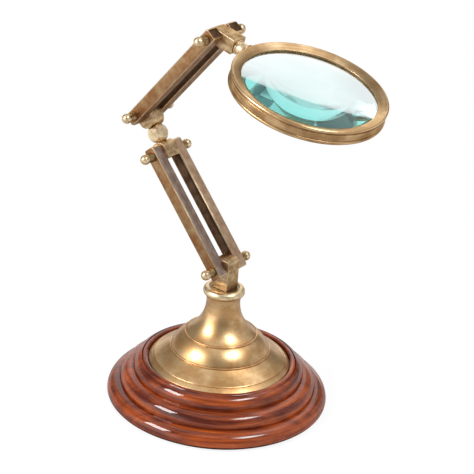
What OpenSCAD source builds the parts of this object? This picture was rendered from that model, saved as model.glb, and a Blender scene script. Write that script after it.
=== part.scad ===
// Table magnifier: a lens in a brass ring on a jointed arm of brass bars, on a bell and a turned wooden base.
// Millimetres, +Z up. The origin is the middle of the underside. The arm folds in the XZ plane,
// its pins lie along Y, and the lens reaches out towards +X.

/* [Wooden base] */
// Widest diameter of the wooden base
base_d = 140; // [136:1:180]
// How far each step of the base is set in from the one below
step_in = 8.25; // [7.9:0.05:8.6]
// Height of each step
step_up = 8.3; // [7.9:0.1:10]
// Radius of each step's rounded shoulder
step_round = 7.2; // [6:0.1:7.5]
// Radius of the rounding at the foot of the wood
foot_round = 2.3; // [1:0.1:3]
// Thickness of the felt under the base
felt_t = 1; // [0.6:0.1:2]
// How far the felt stops short of the foot's rounding
felt_inset = 0.8; // [0.2:0.1:4]
// Width of the flat land on the wood inside the top step
lip_land = 0.7; // [0.4:0.1:1.2]
// Depth of the recess that holds the bell, below the wood's top
recess_depth = 3.6; // [3.2:0.1:6]

/* [Bell] */
// Gap between the bell's rim and the wood round it
rim_gap = 0.6; // [0.3:0.1:1.2]
// Thickness of the bell's rim
rim_t = 2.8; // [2.2:0.1:4]
// Wall of the bell
bell_wall = 2; // [1.4:0.1:2.6]
// Radius of the lower bead line on the bell
lower_line_r = 31.4; // [29:0.1:34]
// Height of the lower bead line above the rim's underside
lower_line_up = 11.8; // [9:0.1:13]
// Radius of the upper bead line
upper_line_r = 22.6; // [20:0.1:25]
// Height of the upper bead line above the rim's underside
upper_line_up = 21.9; // [19:0.1:24]
// Radius of the bell's neck at the top
neck_r = 10.9; // [9.6:0.1:12]
// Height of the bell above the rim's underside
bell_h = 47.7; // [44:0.1:60]
// How far the dome between the bead lines swells out
dome_swell = 0.9; // [0.2:0.1:2]
// How far the neck hollows in
neck_hollow = 4.2; // [2:0.1:5]
// Radius of the bead lines
bead_line_r = 0.5; // [0.4:0.05:0.8]

/* [Collar and post] */
// Diameter of the collar on the bell
collar_d = 26.2; // [25:0.1:30]
// Thickness of the collar
collar_t = 5.8; // [4:0.1:6.4]
// Depth of the dish in the collar's top
dish_depth = 0.4; // [0.2:0.1:1]
// Width of the flat land round the dish
dish_land = 0.6; // [0.2:0.1:1]
// Depth of the post, across the pin
post_w = 12; // [10:0.1:12.4]
// Height of the pin above the post's foot
post_pin_up = 14.5; // [13:0.1:20]
// Height of the post's top above the pin
post_over_pin = 5.5; // [4.8:0.1:8]
// Radius of the rounding along the post's top edges
post_round = 2.5; // [0.5:0.1:3]
// Diameter of the post's spigot, which turns in the collar and the bell
spigot_d = 9; // [8:0.1:10]
// Length of the spigot below the post's foot
spigot_len = 14; // [12:0.1:16]

/* [Draw rod] */
// Diameter of the rod that draws the stand together
rod_d = 5; // [4:0.1:6]
// Depth that the rod is screwed into the spigot
rod_grip = 9; // [6:0.1:10]
// Diameter of the pocket for the nut in the underside of the wood
pocket_d = 18; // [16:0.5:24]
// Depth of that pocket
pocket_depth = 8.5; // [8:0.1:12]
// Diameter of the washer over the nut
washer_d = 15; // [12:0.5:15.5]
// Thickness of the washer
washer_t = 1.2; // [0.8:0.1:1.6]
// Width of the hexagon nut across its flats
nut_flats = 8; // [8:0.1:10]
// Height of the hexagon nut
nut_h = 4; // [3:0.1:4.4]
// Length of rod beyond the nut
rod_tail = 1; // [0.4:0.1:1.6]

/* [Arm bars] */
// Distance between the pins of an arm
arm_len = 79.5; // [60:0.5:110]
// Thickness of a bar, along the pins
bar_t = 8; // [5:0.1:10]
// Depth of a bar, across the pins
bar_w = 8; // [6:0.1:10]
// Length of bar beyond each pin
bar_over = 5.4; // [4:0.1:8]
// Chamfer along the bars' edges
bar_chamfer = 0.45; // [0.1:0.05:0.8]
// Chamfer on the ends of the bars
end_chamfer = 0.9; // [0.2:0.1:1.4]
// Width of the blocks that the bars hold, along the pins
block_w = 11.3; // [10.4:0.1:12.5]
// Gap between a bar and a block
side_gap = 0.05; // [0.02:0.01:0.1]

/* [Pins and ball nuts] */
// Diameter of the pins
pin_d = 4; // [3:0.1:4.4]
// Diameter of the ball on a nut
ball_nut_d = 6.2; // [5.8:0.1:8]
// Diameter of the neck between a nut's ball and the bar
nut_neck_d = 5.2; // [4.9:0.1:5.5]
// Distance from a bar's face to the middle of the ball
nut_reach = 6.4; // [5.4:0.1:9]
// Thickness of the collar at the foot of a nut
nut_foot_t = 0.9; // [0.5:0.1:1.2]
// Length of pin inside each nut
nut_grip = 4.5; // [3:0.1:5]

/* [Elbow] */
// Distance between the elbow's two pins
elbow_len = 27.4; // [26.6:0.1:32]
// Depth of the elbow's blocks, across the pins
elbow_w = 11.3; // [10:0.1:12.5]
// Length of each block beyond its pin, away from the ball
elbow_tail = 4.2; // [3.6:0.1:6]
// Distance from the lower pin to the flat seat of the ball
seat_up = 6.9; // [6.4:0.1:7.2]
// Diameter of the elbow's ball
elbow_ball_d = 12.6; // [11.6:0.1:13]
// Distance from the lower pin to the middle of the lower block's round end
crown_up = 1.6; // [1:0.1:2.4]
// Depth of the flat seat cut under the ball
seat_cut = 0.7; // [0.4:0.1:1.2]
// Width across the spanner flats on the ball
ball_flats = 9.6; // [8.5:0.1:10.5]
// Distance from the upper pin to the middle of the upper block's round end
cup_up = 4.6; // [4:0.1:5.2]
// Diameter of the swivel stud
stud_d = 4; // [3:0.1:4.4]
// Wall between the stud and each pin
stud_wall = 1.2; // [0.6:0.1:1.4]

/* [Head] */
// Length of the head block from its pin to its end face
head_len = 14; // [12:0.1:16]
// Length of the head block behind its pin
head_tail = 4.8; // [4.2:0.1:8]
// Height of the head block above its pin
head_above = 5.2; // [4.4:0.1:6]
// Height of the head block below its pin
head_below = 4.2; // [3.8:0.1:6]
// Radius of the rounding on the back of the head block
head_round = 3.2; // [1:0.1:4]
// Chamfer round the head block's end face
head_chamfer = 0.5; // [0.2:0.1:0.8]
// Length of the stem between the head block and the ring
stem_len = 7; // [5:0.1:14]
// Diameter of the stem's flange
flange_d = 9.4; // [8:0.1:10]
// Thickness of the stem's flange
flange_t = 1; // [0.6:0.1:1.6]
// Diameter of the stem's neck
stem_d = 8; // [6:0.1:9]
// Diameter of the stem where it meets the ring
stem_foot_d = 10; // [8.4:0.1:11]
// How far the stem hollows in between its flange and the ring
stem_hollow = 0.6; // [0.2:0.1:0.8]
// Diameter of the stem's spigot in the head block
stem_spigot_d = 5; // [4:0.1:5.6]
// Length of the stem's spigot
stem_spigot_len = 9; // [6:0.1:10]
// Diameter of the tenon that the stem has in the ring
tenon_d = 3; // [2:0.1:3.6]
// Length of that tenon
tenon_len = 1.8; // [1:0.1:2.2]

/* [Lens and ring] */
// Diameter of the lens
lens_d = 84; // [70:0.5:120]
// Width of the ring from the lens's rim to the ring's outside
ring_wall = 4.5; // [4.2:0.1:6]
// How far the ring's lip reaches over the lens
lip_over = 1.8; // [1:0.1:2.6]
// Thickness of the lens ring with its retaining ring
ring_t = 9.1; // [8.8:0.1:12]
// Depth of the sloping face from the ring's top to the opening's edge
bevel_depth = 1.9; // [1:0.1:2.1]
// Height of the rounded bead round the ring's top
top_bead = 2; // [1.6:0.1:2.4]
// Height of the band on the retaining ring
retainer_h = 2.3; // [2:0.1:2.5]
// Width and depth of the grooves round the ring
groove = 0.45; // [0.3:0.05:0.6]
// Thickness of the lens at its edge
lens_edge = 3; // [2.4:0.1:3.2]
// Radius of the lens surfaces
lens_r = 210; // [150:1:400]
// Thickness of the ring's lip over the lens
lip_t = 1.05; // [0.8:0.05:1.2]
// Wall of the ring's inner thread round the lens
thread_wall = 1.25; // [1:0.05:1.4]
// Length of the thread on the retaining ring above the lens's lower edge
thread_len = 2; // [1:0.1:2.4]
// How far the ring's bands stand in from its top bead
band_in = 0.3; // [0.1:0.05:0.5]

/* [Pose] */
// Lean of the lower arm from upright, towards -X
lower_lean = 40.6; // [0:0.1:60]
// Lean of the elbow from upright, towards -X
elbow_lean = 35.8; // [0:0.1:60]
// Lean of the upper arm from upright, towards +X
upper_lean = 40; // [20:0.1:60]
// Droop of the head block and the lens below level
head_droop = 15.2; // [0:0.1:30]
// Turn of the lens ring about its stem
lens_turn = 2.8; // [-10:0.1:10]

/* [Hidden] */
// Radial clearance of a turning fit
turn_fit = 0.04;
// Radial clearance of a fixed fit
set_fit = 0.02;
// Radial clearance of the rod in a hole that only lets it through
pass_gap = 0.75;
// Gap between the elbow's ball and the cup over it
cup_gap = 0.35;
// Gap where two faces of the lens ring stay just apart
face_gap = 0.05;
// Gap round the rim of the lens
seat_gap = 0.15;
// Length by which a cutter or a joined piece runs past a face
overrun = 1;
// Number of steps turned on the wooden base
step_count = 3;
// Sides that circles are drawn with, and the wide circles of the lens
$fn = 96;
curve_fn = 720;

// Heights of the base, from the table up
first_step_z = felt_t + foot_round;
wood_top_z = first_step_z + (step_count - 1) * step_up + step_round;
top_step_r = base_d / 2 - (step_count - 1) * step_in;
recess_r = top_step_r - step_round - lip_land;
bell_foot_z = wood_top_z - recess_depth;
rim_r = recess_r - rim_gap;
bell_top_z = bell_foot_z + bell_h;
post_foot_z = bell_top_z + collar_t - dish_depth;
pin_z = post_foot_z + post_pin_up;
spigot_low_z = post_foot_z - spigot_len;
spigot_bore_d = spigot_d + 2 * turn_fit;
boss_t = collar_t + spigot_len - dish_depth;
rod_hole_d = rod_d + 2 * pass_gap;
pocket_top_z = felt_t + pocket_depth;
nut_low_z = pocket_top_z - washer_t - nut_h;

// Places along the pins
block_y = block_w / 2;
bar_inner_y = block_y + side_gap;
bar_outer_y = bar_inner_y + bar_t;
pin_len = 2 * (bar_outer_y + nut_grip);
pin_bore_d = pin_d + 2 * turn_fit;
pin_seat_d = pin_d + 2 * set_fit;

// Places along the elbow's axis, from its lower pin
elbow_ball_z = seat_up - seat_cut + elbow_ball_d / 2;
stud_low_z = pin_d / 2 + stud_wall;
stud_high_z = elbow_len - pin_d / 2 - stud_wall;

// Places across the ring, from its middle plane, and radii
lens_rim_r = lens_d / 2;
ring_r = lens_rim_r + ring_wall;
band_r = ring_r - band_in;
opening_r = lens_rim_r - lip_over;
seat_r = lens_rim_r + seat_gap;
thread_r = seat_r + thread_wall;
ring_top_z = ring_t / 2;
opening_z = ring_top_z - bevel_depth;
lip_z = opening_z - lip_t;
lens_high_z = lip_z - face_gap - (sag(lens_rim_r) - sag(opening_r));
lens_low_z = lens_high_z - lens_edge;
seam_z = retainer_h - ring_top_z;
retainer_rest_z = lens_low_z - (sag(lens_rim_r) - sag(opening_r)) - face_gap;
thread_top_z = lens_low_z + thread_len;
stem_end_x = head_len + stem_len;
ring_reach = stem_end_x + ring_r;

// Depth of a lens surface's curve at a radius
function sag(r) = lens_r - sqrt(lens_r * lens_r - r * r);

// Points on the round stretch from p to q that bows to the left of the way from p to q by bow
function bowed(p, q, bow, count = 16) =
    let (
        chord = norm(q - p),
        along = (q - p) / chord,
        left = [-along.y, along.x],
        radius = (chord * chord / 4 + bow * bow) / (2 * abs(bow)),
        half = asin(chord / 2 / radius)
    )
    [for (i = [0 : count])
        let (a = half * (2 * i / count - 1))
        p + along * (chord / 2 + radius * sin(a))
            + left * sign(bow) * (radius * cos(a) - radius * cos(half))];

// Frames of the moving groups
module at_post() {
    translate([0, 0, pin_z]) children();
}

module at_lower_arm() {
    at_post() rotate([0, -lower_lean, 0]) children();
}

module at_elbow() {
    at_lower_arm() translate([0, 0, arm_len]) rotate([0, lower_lean - elbow_lean, 0]) children();
}

module at_upper_arm() {
    at_elbow() translate([0, 0, elbow_len]) rotate([0, elbow_lean + upper_lean, 0]) children();
}

module at_head() {
    at_upper_arm() translate([0, 0, arm_len]) rotate([0, head_droop - upper_lean, 0]) children();
}

module at_ring() {
    at_head() rotate([lens_turn, 0, 0]) translate([ring_reach, 0, 0]) children();
}

// A cylinder along Y, centred on the origin
module y_rod(d, len) {
    rotate([90, 0, 0]) cylinder(d = d, h = len, center = true);
}

// An outline in X and Z, drawn out to a width along Y
module y_slab(width) {
    rotate([90, 0, 0]) linear_extrude(width, center = true) children();
}

// A rectangle from one corner to another
module box_2d(low, high) {
    translate(low) square(high - low);
}

// A rectangle about the origin with its corners cut off
module cut_box(size, cut) {
    x = size.x / 2;
    y = size.y / 2;
    polygon([[cut - x, -y], [x - cut, -y], [x, cut - y], [x, y - cut],
        [x - cut, y], [cut - x, y], [-x, y - cut], [-x, cut - y]]);
}

// A bar with chamfered edges, drilled for its two pins; side is -1 for the left and 1 for the right
module bar(side) {
    length = arm_len + 2 * bar_over;
    difference() {
        translate([0, side * (bar_inner_y + bar_t / 2), arm_len / 2]) intersection() {
            linear_extrude(length, center = true) cut_box([bar_w, bar_t], bar_chamfer);
            y_slab(bar_t) cut_box([bar_w, length], end_chamfer);
        }
        for (z = [0, arm_len])
            translate([0, 0, z]) y_rod(pin_seat_d, 4 * bar_outer_y);
    }
}

module pin() {
    y_rod(pin_d, pin_len);
}

// A ball nut on one end of a pin; side is -1 for the left and 1 for the right
module ball_nut(side) {
    ball_r = ball_nut_d / 2;
    rotate([-90 * side, 0, 0]) difference() {
        translate([0, 0, bar_outer_y]) rotate_extrude() {
            intersection() {
                translate([0, nut_reach]) circle(ball_r);
                box_2d([0, nut_reach - ball_r], [ball_r, nut_reach + ball_r]);
            }
            square([nut_neck_d / 2, nut_reach]);
            square([ball_r, nut_foot_t]);
        }
        cylinder(d = pin_seat_d, h = pin_len / 2 + set_fit);
    }
}

module felt_pad() {
    color("darkslategray") cylinder(r = base_d / 2 - foot_round - felt_inset, h = felt_t);
}

// Half section of the turned wood, without its recess
module wood_section() {
    foot_r = base_d / 2 - foot_round;
    box_2d([0, felt_t], [foot_r, first_step_z]);
    translate([foot_r, first_step_z]) intersection() {
        circle(foot_round);
        box_2d([-foot_round, -foot_round], [foot_round, 0]);
    }
    for (i = [0 : step_count - 1]) {
        core_r = base_d / 2 - i * step_in - step_round;
        step_z = first_step_z + i * step_up;
        low_z = i == 0 ? step_z : step_z - step_up;
        box_2d([0, felt_t], [core_r, step_z + step_round]);
        intersection() {
            translate([core_r, step_z]) circle(step_round);
            box_2d([core_r, low_z], [core_r + step_round, step_z + step_round]);
        }
    }
}

module wood_base() {
    color("saddlebrown") difference() {
        rotate_extrude() wood_section();
        translate([0, 0, bell_foot_z]) cylinder(r = recess_r, h = wood_top_z);
        cylinder(d = rod_hole_d, h = wood_top_z);
        cylinder(d = pocket_d, h = pocket_top_z);
    }
}

// Outline of the bell from the foot of its skirt to the top of its neck, drawn in by a wall
function bell_outline(wall) =
    let (
        lower = [lower_line_r - wall, lower_line_up - wall],
        upper = [upper_line_r - wall, upper_line_up - wall],
        top = [neck_r - wall, bell_h - wall]
    )
    concat(
        bowed(lower, upper, -dome_swell),
        bowed(upper, top, neck_hollow)
    );

module bell() {
    skirt_r = rim_r - rim_t / 2;
    bore_foot_z = bell_h - boss_t;
    color("darkkhaki") translate([0, 0, bell_foot_z]) rotate_extrude() difference() {
        union() {
            polygon(concat([[0, 0], [skirt_r, 0], [skirt_r, rim_t]], bell_outline(0), [[0, bell_h]]));
            translate([skirt_r, rim_t / 2]) circle(rim_t / 2);
            translate([lower_line_r, lower_line_up]) circle(bead_line_r);
            translate([upper_line_r, upper_line_up]) circle(bead_line_r);
        }
        intersection() {
            polygon(concat([[0, -overrun], [skirt_r - bell_wall, -overrun], [skirt_r - bell_wall, 0]],
                bell_outline(bell_wall), [[0, bell_h - bell_wall]]));
            box_2d([0, -overrun], [skirt_r, bore_foot_z]);
        }
        box_2d([0, 0], [spigot_bore_d / 2, 2 * bell_h]);
    }
}

module collar() {
    edge_r = collar_t / 2;
    core_r = collar_d / 2 - edge_r;
    color("goldenrod") translate([0, 0, bell_top_z]) difference() {
        rotate_extrude() {
            square([core_r, collar_t]);
            translate([core_r, edge_r]) intersection() {
                circle(edge_r);
                box_2d([0, -edge_r], [edge_r, edge_r]);
            }
        }
        translate([0, 0, collar_t - dish_depth]) cylinder(r = core_r - dish_land, h = collar_t);
        translate([0, 0, -overrun]) cylinder(d = spigot_bore_d, h = collar_t + 2 * overrun);
    }
}

module rod_washer() {
    color("silver") translate([0, 0, pocket_top_z - washer_t]) difference() {
        cylinder(d = washer_d, h = washer_t);
        translate([0, 0, -overrun]) cylinder(d = rod_hole_d, h = washer_t + 2 * overrun);
    }
}

// Outline of the post between the foot and the rounded top, with the pin at the origin
module post_outline() {
    x = post_w / 2;
    r = post_round;
    box_2d([-x, -post_pin_up], [x, post_over_pin - r]);
    box_2d([r - x, 0], [x - r, post_over_pin]);
    for (side = [-1, 1])
        translate([side * (x - r), post_over_pin - r]) circle(r);
}

module post() {
    color("tan") difference() {
        union() {
            at_post() y_slab(block_w) post_outline();
            translate([0, 0, spigot_low_z]) cylinder(d = spigot_d, h = spigot_len + overrun);
        }
        at_post() y_rod(pin_bore_d, 2 * block_w);
        translate([0, 0, spigot_low_z - overrun])
            cylinder(d = rod_d + 2 * set_fit, h = overrun + rod_grip + set_fit);
    }
}

module draw_rod() {
    low_z = nut_low_z - rod_tail;
    color("silver") translate([0, 0, low_z]) cylinder(d = rod_d, h = spigot_low_z + rod_grip - low_z);
}

module rod_nut() {
    color("silver") translate([0, 0, nut_low_z]) difference() {
        cylinder(d = nut_flats / cos(30), h = nut_h, $fn = 6);
        translate([0, 0, -overrun]) cylinder(d = rod_d + 2 * set_fit, h = nut_h + 2 * overrun);
    }
}

module lower_bar_left() {
    color("rosybrown") at_lower_arm() bar(-1);
}

module lower_bar_right() {
    color("rosybrown") at_lower_arm() bar(1);
}

module post_pin() {
    color("silver") at_lower_arm() pin();
}

module elbow_lower_pin() {
    color("silver") at_lower_arm() translate([0, 0, arm_len]) pin();
}

module post_nut_left() {
    color("khaki") at_lower_arm() ball_nut(-1);
}

module post_nut_right() {
    color("khaki") at_lower_arm() ball_nut(1);
}

module elbow_lower_nut_left() {
    color("khaki") at_lower_arm() translate([0, 0, arm_len]) ball_nut(-1);
}

module elbow_lower_nut_right() {
    color("khaki") at_lower_arm() translate([0, 0, arm_len]) ball_nut(1);
}

// Outline of an elbow block on its pin: a square tail and a round end
module elbow_outline(end_z) {
    x = elbow_w / 2;
    box_2d([-x, -elbow_tail], [x, end_z]);
    translate([0, end_z]) circle(x);
}

module elbow_lower_block() {
    color("tan") at_elbow() difference() {
        y_slab(block_w) intersection() {
            elbow_outline(crown_up);
            box_2d([-elbow_w, -elbow_w], [elbow_w, seat_up]);
        }
        y_rod(pin_bore_d, 2 * block_w);
        translate([0, 0, stud_low_z]) cylinder(d = stud_d + 2 * set_fit, h = elbow_w);
    }
}

module elbow_ball() {
    size = elbow_ball_d;
    color("gold") at_elbow() difference() {
        intersection() {
            translate([0, 0, elbow_ball_z]) sphere(d = size);
            translate([-ball_flats / 2, -ball_flats / 2, seat_up]) cube([ball_flats, ball_flats, size]);
        }
        cylinder(d = stud_d + 2 * set_fit, h = elbow_len);
    }
}

module elbow_stud() {
    color("silver") at_elbow() translate([0, 0, stud_low_z])
        cylinder(d = stud_d, h = stud_high_z - stud_low_z);
}

module elbow_upper_block() {
    color("tan") at_elbow() difference() {
        translate([0, 0, elbow_len]) rotate([180, 0, 0]) y_slab(block_w) elbow_outline(cup_up);
        translate([0, 0, elbow_ball_z]) sphere(d = elbow_ball_d + 2 * cup_gap);
        translate([0, 0, elbow_len]) y_rod(pin_bore_d, 2 * block_w);
        cylinder(d = stud_d + 2 * turn_fit, h = stud_high_z + turn_fit);
    }
}

module upper_bar_left() {
    color("rosybrown") at_upper_arm() bar(-1);
}

module upper_bar_right() {
    color("rosybrown") at_upper_arm() bar(1);
}

module elbow_upper_pin() {
    color("silver") at_upper_arm() pin();
}

module head_pin() {
    color("silver") at_upper_arm() translate([0, 0, arm_len]) pin();
}

module elbow_upper_nut_left() {
    color("khaki") at_upper_arm() ball_nut(-1);
}

module elbow_upper_nut_right() {
    color("khaki") at_upper_arm() ball_nut(1);
}

module head_nut_left() {
    color("khaki") at_upper_arm() translate([0, 0, arm_len]) ball_nut(-1);
}

module head_nut_right() {
    color("khaki") at_upper_arm() translate([0, 0, arm_len]) ball_nut(1);
}

// Outline of the head block about its pin: a rounded back and a chamfered end face
module head_outline() {
    c = head_chamfer;
    r = head_round;
    for (z = [r - head_below, head_above - r])
        translate([r - head_tail, z]) circle(r);
    box_2d([-head_tail, r - head_below], [0, head_above - r]);
    polygon([[r - head_tail, -head_below], [head_len - c, -head_below], [head_len, c - head_below],
        [head_len, head_above - c], [head_len - c, head_above], [r - head_tail, head_above]]);
}

module head_block() {
    color("tan") at_head() difference() {
        y_slab(block_w) head_outline();
        y_rod(pin_bore_d, 2 * block_w);
        translate([head_len - stem_spigot_len - turn_fit, 0, 0]) rotate([0, 90, 0])
            cylinder(d = stem_spigot_d + 2 * turn_fit, h = head_len);
    }
}

// Half section of the stem along its axis, from the spigot's end to the tenon's
module stem_section() {
    spigot_x = head_len - stem_spigot_len;
    flange_x = head_len + face_gap;
    neck_x = flange_x + flange_t;
    neck = stem_d / 2;
    foot = [stem_foot_d / 2, stem_end_x + overrun];
    polygon(concat(
        [[0, spigot_x], [stem_spigot_d / 2, spigot_x], [stem_spigot_d / 2, flange_x],
            [flange_d / 2, flange_x], [flange_d / 2, neck_x], [neck, neck_x]],
        bowed([neck, neck_x], foot, stem_hollow, 8),
        [[0, foot.y]]
    ));
}

module lens_stem() {
    color("khaki") at_head() rotate([lens_turn, 0, 0]) {
        difference() {
            rotate([0, 90, 0]) rotate_extrude() stem_section();
            translate([ring_reach, 0, 0]) cylinder(r = ring_r + set_fit, h = 2 * ring_t, center = true);
        }
        translate([stem_end_x - overrun, 0, 0]) rotate([0, 90, 0])
            cylinder(d = tenon_d, h = overrun + tenon_len);
    }
}

// Half section of the ring: a rounded bead and a band outside, a sloping lip over the lens inside
module ring_section() {
    bead_r = top_bead / 2;
    bead_z = ring_top_z - bead_r;
    groove_z = ring_top_z - top_bead - groove;
    thread = thread_r + set_fit;
    low_r = band_r - groove;
    translate([ring_r - bead_r, bead_z]) circle(bead_r);
    polygon([[opening_r, opening_z], [opening_r, lip_z], [seat_r, lip_z], [seat_r, thread_top_z],
        [thread, thread_top_z], [thread, seam_z], [low_r, seam_z], [low_r, seam_z + groove],
        [band_r, seam_z + groove], [band_r, groove_z], [low_r, groove_z], [low_r, bead_z],
        [ring_r - bead_r, ring_top_z]]);
}

module lens_ring() {
    color("darkgoldenrod") at_ring() difference() {
        rotate_extrude() ring_section();
        translate([-ring_r - overrun, 0, 0]) rotate([0, 90, 0])
            cylinder(d = tenon_d + 2 * set_fit, h = overrun + tenon_len + set_fit);
    }
}

module lens() {
    high_middle_z = lens_high_z + sag(lens_rim_r) - lens_r;
    low_middle_z = lens_low_z - sag(lens_rim_r) + lens_r;
    color("paleturquoise") at_ring() rotate_extrude() intersection() {
        box_2d([0, -ring_t], [lens_rim_r, ring_t]);
        translate([0, high_middle_z]) circle(lens_r, $fn = curve_fn);
        translate([0, low_middle_z]) circle(lens_r, $fn = curve_fn);
    }
}

module retaining_ring() {
    edge_r = retainer_h / 2;
    color("darkgoldenrod") at_ring() rotate_extrude() {
        translate([ring_r - edge_r, seam_z - edge_r]) circle(edge_r);
        box_2d([seat_r, -ring_top_z], [ring_r - edge_r, seam_z]);
        box_2d([opening_r + seat_gap, -ring_top_z], [seat_r, retainer_rest_z]);
        box_2d([seat_r, seam_z - edge_r], [thread_r, thread_top_z - face_gap]);
    }
}

felt_pad();
wood_base();
bell();
collar();
rod_washer();
post();
draw_rod();
rod_nut();
lower_bar_left();
lower_bar_right();
post_pin();
elbow_lower_pin();
post_nut_left();
post_nut_right();
elbow_lower_nut_left();
elbow_lower_nut_right();
elbow_lower_block();
elbow_ball();
elbow_stud();
elbow_upper_block();
upper_bar_left();
upper_bar_right();
elbow_upper_pin();
head_pin();
elbow_upper_nut_left();
elbow_upper_nut_right();
head_nut_left();
head_nut_right();
head_block();
lens_stem();
lens_ring();
lens();
retaining_ring();
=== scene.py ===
"""Table magnifier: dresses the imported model.

Sizes and outlines are in millimetres; meshes, matrices and materials are in metres.
"""
import math
import bpy
import bmesh
from mathutils import Matrix, Vector


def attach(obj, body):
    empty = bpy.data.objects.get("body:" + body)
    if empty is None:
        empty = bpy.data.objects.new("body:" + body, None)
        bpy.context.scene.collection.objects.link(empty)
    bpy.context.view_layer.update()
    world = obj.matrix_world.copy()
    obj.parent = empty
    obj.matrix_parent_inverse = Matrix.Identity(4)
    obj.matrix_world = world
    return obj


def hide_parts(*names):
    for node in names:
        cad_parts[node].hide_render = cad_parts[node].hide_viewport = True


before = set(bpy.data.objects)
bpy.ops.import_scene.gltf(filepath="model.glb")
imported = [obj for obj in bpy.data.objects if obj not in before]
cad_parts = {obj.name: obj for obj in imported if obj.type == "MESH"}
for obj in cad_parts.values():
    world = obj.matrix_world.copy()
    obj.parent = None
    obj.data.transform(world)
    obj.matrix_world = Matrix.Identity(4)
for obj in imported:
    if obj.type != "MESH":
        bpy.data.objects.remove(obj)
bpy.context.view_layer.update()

MM = 0.001
scene = bpy.context.scene

# Sizes, as in the construction: base and felt
BASE_R, FELT_T, FOOT_ROUND = 70, 1, 2.3
STEPS, STEP_IN, STEP_UP, STEP_ROUND = 3, 8.25, 8.3, 7.2
RECESS, LIP_LAND = 3.6, 0.7
WOOD_TOP = FELT_T + FOOT_ROUND + (STEPS - 1) * STEP_UP + STEP_ROUND
RECESS_R = BASE_R - (STEPS - 1) * STEP_IN - STEP_ROUND - LIP_LAND
# Bell and collar; the lines are (radius, height over the bell's foot)
RIM_GAP, RIM_T = 0.6, 2.8
RIM_R = RECESS_R - RIM_GAP
BELL_FOOT, BELL_H = WOOD_TOP - RECESS, 47.7
BELL_TOP = BELL_FOOT + BELL_H
LOWER_LINE, UPPER_LINE, LINE_R = (31.4, 11.8), (22.6, 21.9), 0.5
NECK_R, DOME_SWELL, NECK_HOLLOW = 10.9, 0.9, 4.2
COLLAR_R, COLLAR_T, DISH, DISH_LAND = 13.1, 5.8, 0.4, 0.6
# Post, blocks and bars
POST_W, POST_PIN_UP, POST_OVER, POST_ROUND = 12, 14.5, 5.5, 2.5
PIN_Z = BELL_TOP + COLLAR_T - DISH + POST_PIN_UP
BLOCK_W, SIDE_GAP = 11.3, 0.05
BAR_W, BAR_T, BAR_OVER, ARM, BAR_CHAMFER, END_CHAMFER = 8, 8, 5.4, 79.5, 0.45, 0.9
BALL_R, NUT_NECK_R, NUT_REACH, NUT_FOOT = 3.1, 2.6, 6.4, 0.9
# Elbow and head
ELBOW, ELBOW_W, ELBOW_TAIL, SEAT_UP, CROWN_UP, CUP_UP = 27.4, 11.3, 4.2, 6.9, 1.6, 4.6
ELBOW_BALL_R, SEAT_CUT, BALL_FLATS, CUP_GAP = 6.3, 0.7, 9.6, 0.35
BALL_Z = SEAT_UP - SEAT_CUT + ELBOW_BALL_R
HEAD_LEN, HEAD_TAIL, HEAD_ABOVE, HEAD_BELOW, HEAD_ROUND, HEAD_CHAMFER = 14, 4.8, 5.2, 4.2, 3.2, 0.5
# Stem, ring and lens
FLANGE_R, FLANGE_T, STEM_R, STEM_FOOT_R, STEM_HOLLOW, STEM_LEN = 4.7, 1, 4, 5, 0.6, 7
LENS_R, RING_R, OPEN_R, RING_T, BEVEL, TOP_BEAD, RETAINER, GROOVE = 42, 46.5, 40.2, 9.1, 1.9, 2, 2.3, 0.45
LIP_T, BAND_IN, SURFACE_R, EDGE_T, FACE_GAP = 1.05, 0.3, 210, 3, 0.05
REACH = HEAD_LEN + STEM_LEN + RING_R
# The pictured pose, in degrees
LOWER_LEAN, ELBOW_LEAN, UPPER_LEAN, DROOP, LENS_TURN = 40.6, 35.8, 40, 15.2, 2.8

# The dressed model's plain bores through the wood and the brass
WOOD_BORE_R, BRASS_BORE_R = 9, 5
# Detail of the dressed model alone
SCRIBED_LINE = ((0.35, -0.05), (0.1, -0.35), (-0.02, 0.12))
LIP_BEAD_R, LIP_BEAD_AT, LIP_GROOVE = 1.7, 1.4, (1.85, 1.9)
RIM_GROOVE = ((1.9, 0), (2.1, -0.4), (2.6, -0.4), (2.85, 0.05), (3.2, 0.16), (3.6, 0.1), (3.9, 0))
BEAD_CREASE, CREASE_REACH = ((0.55, 0.3), (0.75, 0.28), (1.0, 0.0)), 1.2

# The camera, fitted to the photograph: angles in degrees, places in metres
AZIMUTH, ELEVATION, ROLL = 35.18, 24.3, 4.44
AIM, CAMERA_DISTANCE, FOCAL, SENSOR = (0.00661, 0, 0.11256), 0.93525, 116.6, 36

# Lamps: name, direction, width and depth in metres, power in watts, whether it fades towards its edge
LAMPS = (("window", (-0.4, -0.73, 0.57), (0.5, 0.44), 10, False),
         ("softbox", (0.56, -0.04, 0.82), (1.0, 0.6), 8, True))
LAMP_DISTANCE, LAMP_AIM = 1.3, (0, 0, 0.08)
# The fade: its start and end from a lamp's middle, in parts of the lamp's side, and the strength at each
LAMP_FADE = (0.05, 0.42, 4.0, 0.0)

# The floor: its height and half its side in metres, and the tone of its paper
FLOOR_Z, FLOOR_HALF, PAPER = -0.00005, 9, 0.85
# The floor's ramps: distances from the axis in metres where each starts and ends, and its values there
SHADOW_TONE, SHADOW_GLOW, MIRRORED_GLOW = (0.16, 0.5, 0.2, 0.0), (0.16, 0.5, 0.87, 1.0), (0.12, 0.6, 0.4, 1.0)

# The sweep behind the object, as metal mirrors it: its directions, half width, softness and ramps
SWEEP_RIGHT, SWEEP_BACK = (0.817, 0.576, 0), (-0.576, 0.817, 0)
SWEEP_HALF, SWEEP_SOFT, SWEEP_FOOT, SWEEP_TOP = 0.52, 6.0, (0.05, 0.2, 0.0, 1.15), (0.72, 0.86, 1.0, 0.3)
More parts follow.
